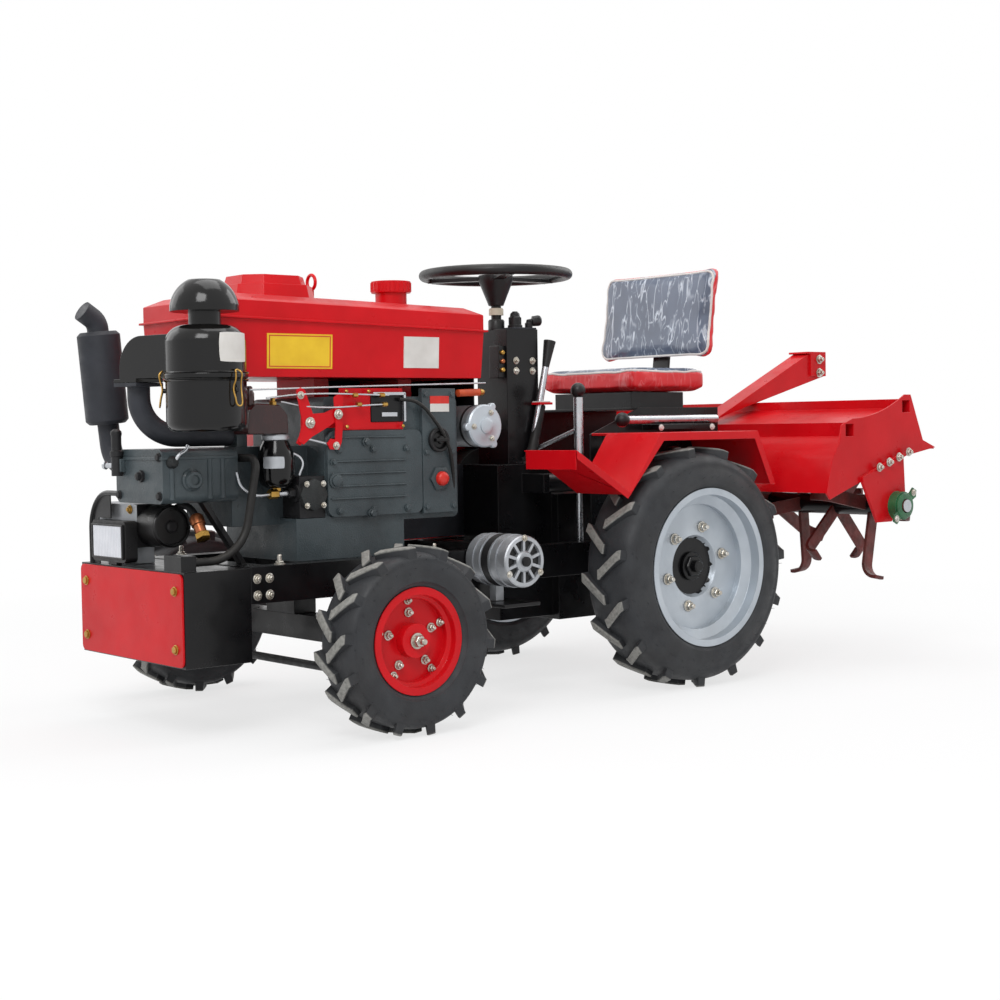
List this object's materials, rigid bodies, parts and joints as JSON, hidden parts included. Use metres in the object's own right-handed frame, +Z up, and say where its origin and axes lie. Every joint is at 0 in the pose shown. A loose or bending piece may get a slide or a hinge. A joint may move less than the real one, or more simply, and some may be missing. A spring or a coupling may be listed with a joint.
{
  "type": "four-wheel ride-on rotary tiller",
  "caption": "Small ride-on tractor with an open diesel engine under a red tank, steered front wheels, lugged tyres, a seat, and a hinged powered rotary tiller with bent tines behind.",
  "frame": {"origin": "on the ground under the middle of the overall box", "axes": "+Z up; the machine faces -Y, so +Y runs back to the tiller; its left side is +X"},
  "size_m": [1.17, 2.3556, 1.074],
  "materials": {
    "red_paint": "gloss",
    "black_paint": "gloss",
    "engine_green": "satin",
    "silver_paint": "satin",
    "cast_iron": "satin",
    "dark_steel": "matt",
    "bright_steel": "satin",
    "aluminium": "satin",
    "tyre_rubber": "matt",
    "black_rubber": "matt",
    "seat_vinyl": "satin",
    "seat_red": "satin",
    "black_plastic": "satin",
    "tine_steel": "matt"
  },
  "bodies": {
    "chassis": {"air_cleaner": "black_paint", "alternator": "aluminium", "belt_drive": "cast_iron", "belt_guard": "red_paint", "control_levers": "bright_steel", "control_linkage": "red_paint", "coolant_hose": "black_rubber", "cylinder_head": "engine_green", "engine_block": "engine_green", "fender_left": "red_paint", "fender_right": "red_paint", "frame": "black_paint", "front_axle": "black_paint", "front_box": "black_paint", "front_plate": "red_paint", "fuel_filter": "black_paint", "fuel_tank": "red_paint", "hydraulic_pump": "aluminium", "injection_pump": "dark_steel", "intake_pipe": "dark_steel", "lift_cylinder": "black_paint", "muffler": "dark_steel", "seat_backrest": "seat_vinyl", "seat_cushion": "seat_red", "seat_frame": "black_paint", "starter_motor": "aluminium", "steering_post": "black_paint", "transaxle": "black_paint", "work_lamp": "black_plastic"},
    "knuckle_left": {"knuckle_left": "dark_steel"},
    "knuckle_right": {"knuckle_right": "dark_steel"},
    "tie_rod": {"tie_rod": "dark_steel"},
    "front_wheel_left": {"front_rim_left": "red_paint", "front_tyre_left": "tyre_rubber"},
    "front_wheel_right": {"front_rim_right": "red_paint", "front_tyre_right": "tyre_rubber"},
    "rear_wheel_left": {"rear_rim_left": "silver_paint", "rear_tyre_left": "tyre_rubber"},
    "rear_wheel_right": {"rear_rim_right": "silver_paint", "rear_tyre_right": "tyre_rubber"},
    "steering_wheel": {"steering_wheel": "black_plastic"},
    "tiller": {"tiller_housing": "red_paint", "rear_boom": "red_paint", "lift_frame": "red_paint", "drive_case": "black_paint"},
    "rotor": {"rotor": "tine_steel"},
    "lift_rod": {"lift_rod": "bright_steel"}
  },
  "joints": [
    {"name": "steer_left", "type": "hinge", "parent": "chassis", "child": "knuckle_left", "pos_m": [0.345, -0.739, 0.204], "axis": [0, 0, 1], "range_deg": [-35, 35]},
    {"name": "steer_right", "type": "hinge", "parent": "chassis", "child": "knuckle_right", "pos_m": [-0.345, -0.739, 0.204], "axis": [0, 0, 1], "range_deg": [-36, 36]},
    {"name": "tie_rod_swing", "type": "hinge", "parent": "knuckle_left", "child": "tie_rod", "pos_m": [0.345, -0.854, 0.144], "axis": [0, 0, 1], "range_deg": [-36, 36]},
    {"name": "steering_wheel_turn", "type": "hinge", "parent": "chassis", "child": "steering_wheel", "pos_m": [0, -0.098, 1], "axis": [0, 0, 1], "range_deg": [-432, 432]},
    {"name": "front_left_roll", "type": "hinge", "parent": "knuckle_left", "child": "front_wheel_left", "pos_m": [0.45, -0.739, 0.204], "axis": [1, 0, 0], "continuous": true},
    {"name": "front_right_roll", "type": "hinge", "parent": "knuckle_right", "child": "front_wheel_right", "pos_m": [-0.45, -0.739, 0.204], "axis": [1, 0, 0], "continuous": true},
    {"name": "rear_left_roll", "type": "hinge", "parent": "chassis", "child": "rear_wheel_left", "pos_m": [0.39, 0.186, 0.3], "axis": [1, 0, 0], "continuous": true},
    {"name": "rear_right_roll", "type": "hinge", "parent": "chassis", "child": "rear_wheel_right", "pos_m": [-0.39, 0.186, 0.3], "axis": [1, 0, 0], "continuous": true},
    {"name": "tiller_lift", "type": "hinge", "parent": "chassis", "child": "tiller", "pos_m": [0, 0.271, 0.42], "axis": [1, 0, 0], "range_deg": [-35, 4]},
    {"name": "rotor_spin", "type": "hinge", "parent": "tiller", "child": "rotor", "pos_m": [0, 0.834, 0.428], "axis": [1, 0, 0], "continuous": true},
    {"name": "lift_rod_slide", "type": "slide", "parent": "chassis", "child": "lift_rod", "axis": [0, -1, 0], "range_m": [-0.0589, 0.0085]}
  ],
  "couplings": [
    {"joint": "steer_right", "follows": "steer_left", "ratio": 1},
    {"joint": "tie_rod_swing", "follows": "steer_left", "ratio": -1},
    {"joint": "steering_wheel_turn", "follows": "steer_left", "ratio": 12},
    {"joint": "lift_rod_slide", "follows": "tiller_lift", "m_per_rad": 0.0931}
  ]
}
